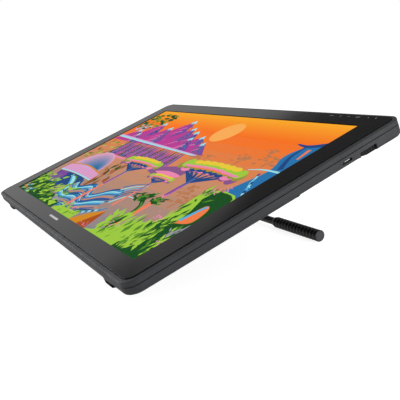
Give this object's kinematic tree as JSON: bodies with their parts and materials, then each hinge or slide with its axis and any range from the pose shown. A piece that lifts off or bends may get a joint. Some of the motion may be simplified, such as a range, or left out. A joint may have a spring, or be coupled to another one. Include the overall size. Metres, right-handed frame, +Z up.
{
  "type": "pen drawing tablet",
  "caption": "Pen display drawing tablet: glass-fronted screen in a thin dark casing, propped on front feet and a folding leg with a rubber-gripped cross rod.",
  "frame": {"origin": "on the desk, under the middle of the object's bounding box", "axes": "+X to the user's right along the screen's long side, +Y away from the user, +Z up; the screen is raised 24.27 degrees at its far edge"},
  "size_m": [0.5462, 0.2972, 0.1476],
  "materials": {
    "cover_glass": "etched anti-glare glass with a black printed border",
    "casing": "fine-grained matt dark grey",
    "frame_plastic": "moulded black",
    "lcd_glass": "polarised panel",
    "optical_film": "white film",
    "clear_acrylic": "polished clear",
    "sheet_steel": "plated sheet",
    "circuit_board": "green solder mask",
    "flex_film": "amber film",
    "aluminium": "anodised",
    "black_plastic": "moulded black",
    "rubber": "matt black",
    "black_steel": "satin black powder coat",
    "bright_steel": "turned",
    "end_cap": "matt grey",
    "lever_plastic": "moulded black"
  },
  "bodies": {
    "tablet": {"backlight_tray": "sheet_steel", "cover_glass": "cover_glass", "cover_screw_1": "black_steel", "cover_screw_2": "black_steel", "cover_screw_3": "black_steel", "cover_screw_4": "black_steel", "cover_screw_5": "black_steel", "cover_screw_6": "black_steel", "dc_jack": "black_plastic", "diffuser_sheet": "optical_film", "digitizer_board": "circuit_board", "digitizer_ribbon": "flex_film", "driver_board": "circuit_board", "friction_washer_left": "bright_steel", "friction_washer_right": "bright_steel", "front_bezel": "casing", "front_foot_left": "rubber", "front_foot_right": "rubber", "hdmi_socket": "sheet_steel", "heat_spreader": "aluminium", "hinge_bush": "black_steel", "hinge_cap_left": "casing", "hinge_cap_right": "casing", "hinge_shaft": "bright_steel", "lcd_cell": "lcd_glass", "led_strip": "optical_film", "light_guide": "clear_acrylic", "main_board": "circuit_board", "mid_frame": "frame_plastic", "panel_flex": "flex_film", "port_board": "circuit_board", "rear_cover": "casing", "rear_foot_left": "rubber", "rear_foot_right": "rubber", "rear_usb_c_socket": "sheet_steel", "reflector_sheet": "optical_film", "shaft_nut": "bright_steel", "shield_plate": "sheet_steel", "side_notch_insert": "black_plastic", "side_port_board": "circuit_board", "side_usb_c_socket": "sheet_steel", "stand_base_plate": "black_steel", "stand_screw_1": "black_steel", "stand_screw_2": "black_steel", "stand_screw_3": "black_steel", "stand_screw_4": "black_steel", "touch_key_board": "circuit_board", "touch_key_flex": "flex_film"},
    "stand": {"stand_leg": "black_steel", "clutch_spring": "bright_steel", "cross_rod": "black_steel", "grip_left": "rubber", "grip_right": "rubber", "end_cap_left": "end_cap", "end_cap_right": "end_cap", "lever_spring": "bright_steel"},
    "lever": {"release_lever": "lever_plastic"}
  },
  "joints": [
    {"name": "stand_fold", "type": "hinge", "parent": "tablet", "child": "stand", "pos_m": [0, -0.03213, 0.03564], "axis": [-1, 0, 0], "range_deg": [-34.2, 85]},
    {"name": "release_lever_press", "type": "hinge", "parent": "stand", "child": "lever", "pos_m": [0, -0.03213, 0.03564], "axis": [1, 0, 0], "range_deg": [0, 14], "stiffness_Nm_per_rad": 0.3, "springref_deg": -11.46}
  ]
}
